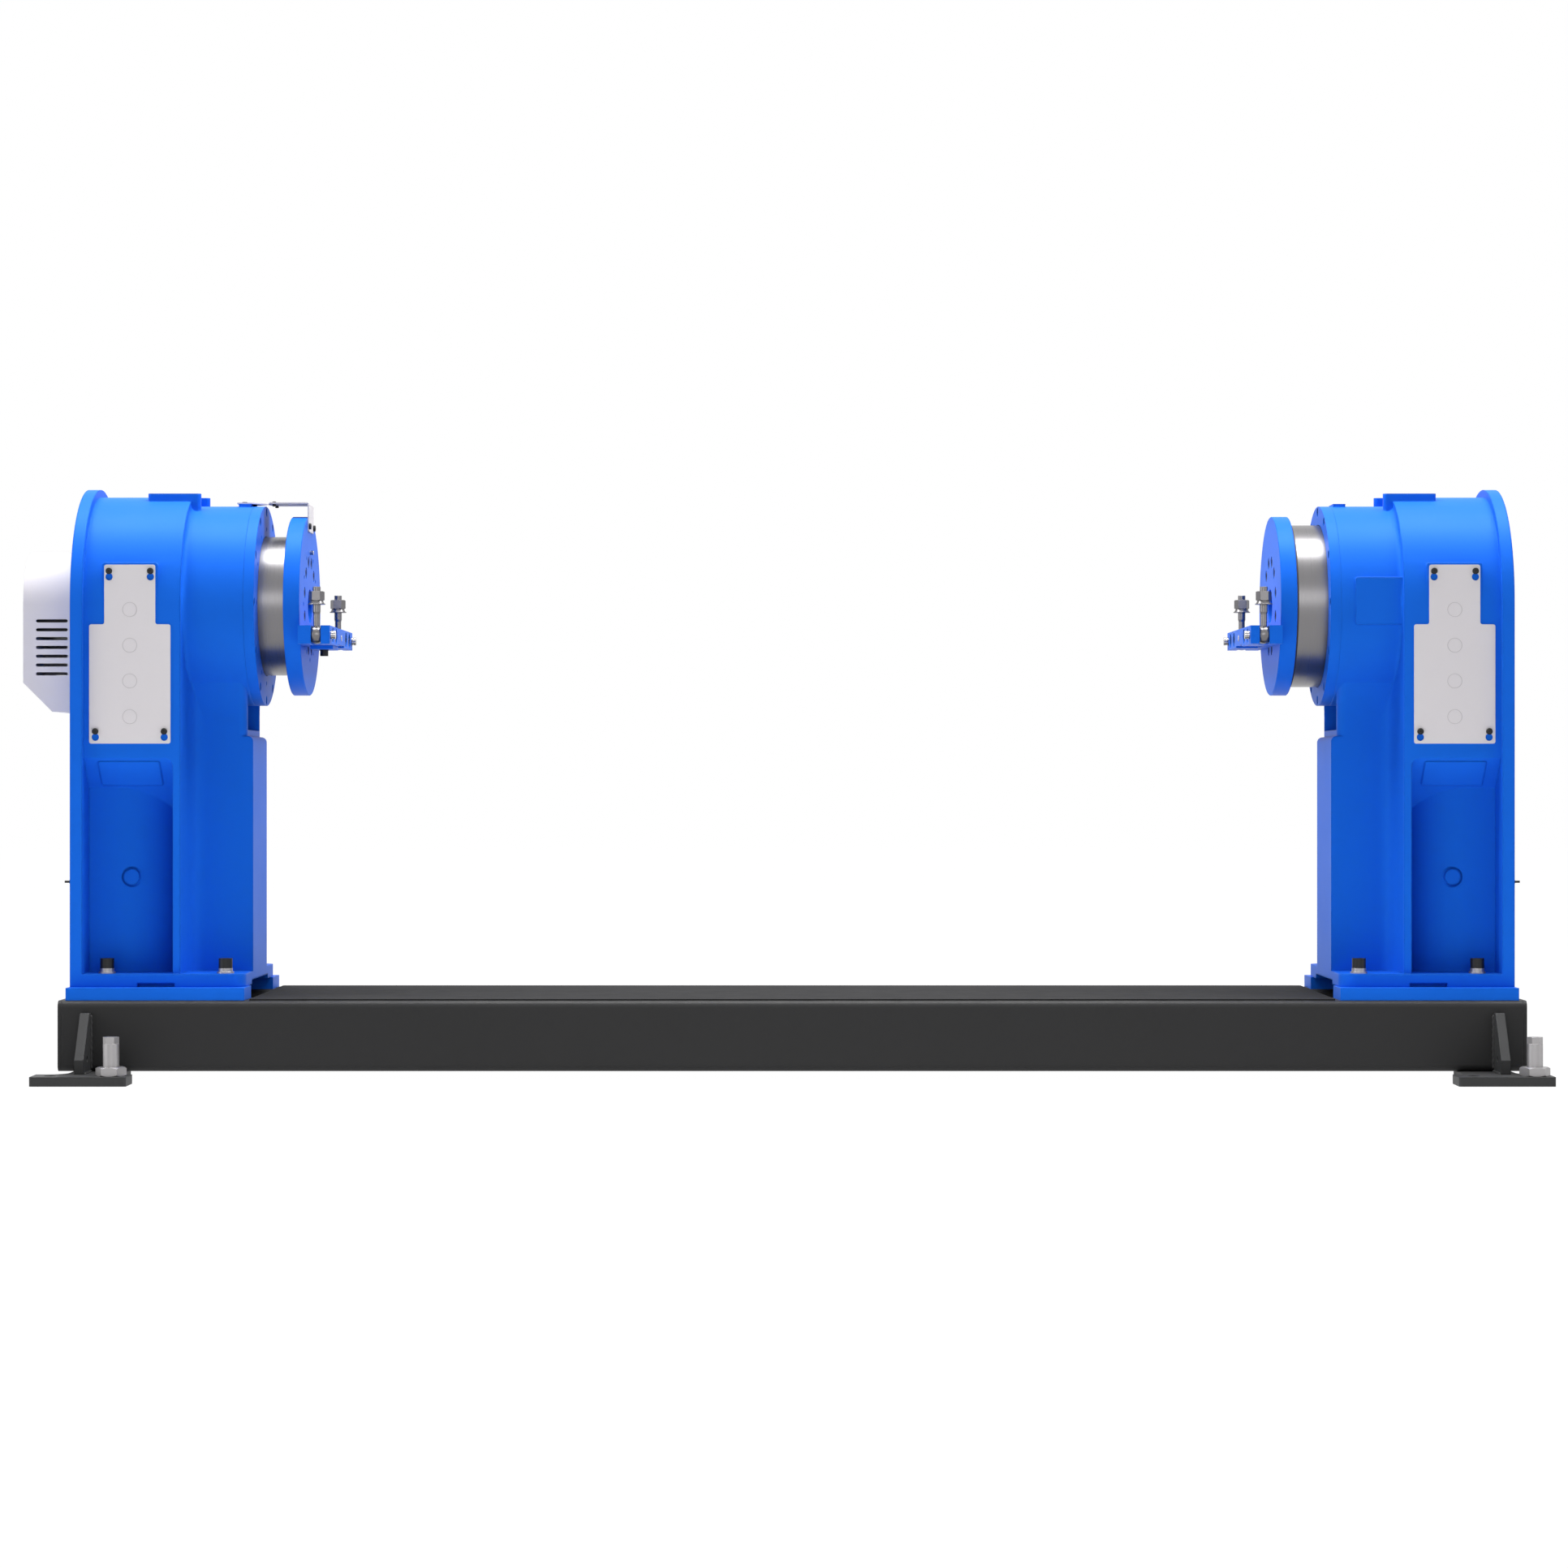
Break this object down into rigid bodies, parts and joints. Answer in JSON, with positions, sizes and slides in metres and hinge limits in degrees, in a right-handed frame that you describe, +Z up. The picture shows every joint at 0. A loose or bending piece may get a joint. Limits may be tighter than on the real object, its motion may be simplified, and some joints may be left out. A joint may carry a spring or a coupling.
{
  "type": "welding positioner",
  "caption": "Head and tail welding positioner on a floor beam: a driven and a free-turning faceplate face each other on one axis, each with a clamp bar and swing bolts.",
  "frame": {"origin": "on the floor, under the middle of the machine's overall box", "axes": "+X along the rotation axis from headstock to tailstock, +Z up, +Y across the beam"},
  "size_m": [3.32, 0.954, 1.2999],
  "materials": {
    "blue_paint": "semi-gloss",
    "dark_paint": "satin",
    "grey_paint": "satin",
    "machined_steel": "turned",
    "plain_steel": "satin",
    "black_steel": "black oxide",
    "zinc_steel": "zinc plated",
    "black_plastic": "matt",
    "bearing_steel": "ground",
    "motor_paint": "satin"
  },
  "bodies": {
    "frame": {"beam_tube_front": "dark_paint", "beam_tube_rear": "dark_paint", "beam_end_caps": "dark_paint", "beam_cross_members": "dark_paint", "deck_cover": "dark_paint", "foot_plates": "dark_paint", "foot_gussets": "dark_paint", "levelling_screws": "zinc_steel", "levelling_lock_nuts": "zinc_steel", "sole_strips": "blue_paint", "hold_down_screws": "black_steel", "hold_down_washers": "zinc_steel", "head_column": "blue_paint", "tail_column": "blue_paint", "head_side_covers": "grey_paint", "tail_side_covers": "grey_paint", "motor_cover": "grey_paint", "tail_end_cover": "grey_paint", "servo_motor": "motor_paint", "drive_adapter": "motor_paint", "reducer_case": "plain_steel", "head_end_ring": "blue_paint", "tail_end_ring": "blue_paint", "end_ring_screws": "black_steel", "tail_outer_races": "bearing_steel", "tail_bearing_rollers": "bearing_steel", "fixed_pointer": "grey_paint"},
    "head_spindle": {"head_drum": "machined_steel", "head_faceplate": "blue_paint", "head_faceplate_screws": "black_steel", "head_clamp_bar": "blue_paint", "head_bar_screws": "black_steel", "head_pivot_pins": "zinc_steel", "head_index_dowel": "bearing_steel", "dial_pointer": "grey_paint", "stop_block": "blue_paint", "stop_block_fasteners": "black_steel", "reducer_output": "plain_steel"},
    "tail_spindle": {"tail_spindle_shaft": "plain_steel", "tail_inner_races": "bearing_steel", "tail_shaft_nut": "black_steel", "tail_drum": "machined_steel", "tail_insulating_ring": "black_plastic", "tail_faceplate": "blue_paint", "tail_faceplate_screws": "black_steel", "tail_clamp_bar": "blue_paint", "tail_bar_screws": "black_steel", "tail_pivot_pins": "zinc_steel"},
    "head_front_bolt": {"head_front_eye_bolt": "zinc_steel"},
    "head_front_collar": {"head_front_collar_washer": "zinc_steel"},
    "head_front_nut": {"head_front_clamp_nut": "zinc_steel"},
    "head_rear_bolt": {"head_rear_eye_bolt": "zinc_steel"},
    "head_rear_collar": {"head_rear_collar_washer": "zinc_steel"},
    "head_rear_nut": {"head_rear_clamp_nut": "zinc_steel"},
    "tail_front_bolt": {"tail_front_eye_bolt": "zinc_steel"},
    "tail_front_collar": {"tail_front_collar_washer": "zinc_steel"},
    "tail_front_nut": {"tail_front_clamp_nut": "zinc_steel"},
    "tail_rear_bolt": {"tail_rear_eye_bolt": "zinc_steel"},
    "tail_rear_collar": {"tail_rear_collar_washer": "zinc_steel"},
    "tail_rear_nut": {"tail_rear_clamp_nut": "zinc_steel"}
  },
  "joints": [
    {"name": "head_spindle_turn", "type": "hinge", "parent": "frame", "child": "head_spindle", "pos_m": [-1.04, 0, 1.04], "axis": [1, 0, 0], "range_deg": [-360, 360]},
    {"name": "tail_spindle_turn", "type": "hinge", "parent": "frame", "child": "tail_spindle", "pos_m": [1.111, 0, 1.04], "axis": [1, 0, 0], "continuous": true},
    {"name": "head_front_bolt_swing", "type": "hinge", "parent": "head_spindle", "child": "head_front_bolt", "pos_m": [-1.0006, -0.208, 0.9685], "axis": [1, 0, 0], "range_deg": [-25, 180]},
    {"name": "head_front_collar_slide", "type": "slide", "parent": "head_front_bolt", "child": "head_front_collar", "axis": [0, 0, 1], "range_m": [-0.014, 0.009]},
    {"name": "head_front_nut_spin", "type": "hinge", "parent": "head_front_collar", "child": "head_front_nut", "pos_m": [-1.0006, -0.208, 0.9685], "axis": [0, 0, 1], "range_deg": [-2016, 1296]},
    {"name": "head_rear_bolt_swing", "type": "hinge", "parent": "head_spindle", "child": "head_rear_bolt", "pos_m": [-1.0006, 0.208, 0.9685], "axis": [-1, 0, 0], "range_deg": [-25, 180]},
    {"name": "head_rear_collar_slide", "type": "slide", "parent": "head_rear_bolt", "child": "head_rear_collar", "axis": [0, 0, 1], "range_m": [-0.014, 0.009]},
    {"name": "head_rear_nut_spin", "type": "hinge", "parent": "head_rear_collar", "child": "head_rear_nut", "pos_m": [-1.0006, 0.208, 0.9685], "axis": [0, 0, 1], "range_deg": [-2016, 1296]},
    {"name": "tail_front_bolt_swing", "type": "hinge", "parent": "tail_spindle", "child": "tail_front_bolt", "pos_m": [1.0716, -0.208, 0.9685], "axis": [1, 0, 0], "range_deg": [-25, 180]},
    {"name": "tail_front_collar_slide", "type": "slide", "parent": "tail_front_bolt", "child": "tail_front_collar", "axis": [0, 0, 1], "range_m": [-0.014, 0.009]},
    {"name": "tail_front_nut_spin", "type": "hinge", "parent": "tail_front_collar", "child": "tail_front_nut", "pos_m": [1.0716, -0.208, 0.9685], "axis": [0, 0, 1], "range_deg": [-2016, 1296]},
    {"name": "tail_rear_bolt_swing", "type": "hinge", "parent": "tail_spindle", "child": "tail_rear_bolt", "pos_m": [1.0716, 0.208, 0.9685], "axis": [-1, 0, 0], "range_deg": [-25, 180]},
    {"name": "tail_rear_collar_slide", "type": "slide", "parent": "tail_rear_bolt", "child": "tail_rear_collar", "axis": [0, 0, 1], "range_m": [-0.014, 0.009]},
    {"name": "tail_rear_nut_spin", "type": "hinge", "parent": "tail_rear_collar", "child": "tail_rear_nut", "pos_m": [1.0716, 0.208, 0.9685], "axis": [0, 0, 1], "range_deg": [-2016, 1296]}
  ],
  "couplings": [
    {"joint": "head_front_collar_slide", "follows": "head_front_nut_spin", "m_per_rad": 0.00039789},
    {"joint": "head_rear_collar_slide", "follows": "head_rear_nut_spin", "m_per_rad": 0.00039789},
    {"joint": "tail_front_collar_slide", "follows": "tail_front_nut_spin", "m_per_rad": 0.00039789},
    {"joint": "tail_rear_collar_slide", "follows": "tail_rear_nut_spin", "m_per_rad": 0.00039789}
  ]
}
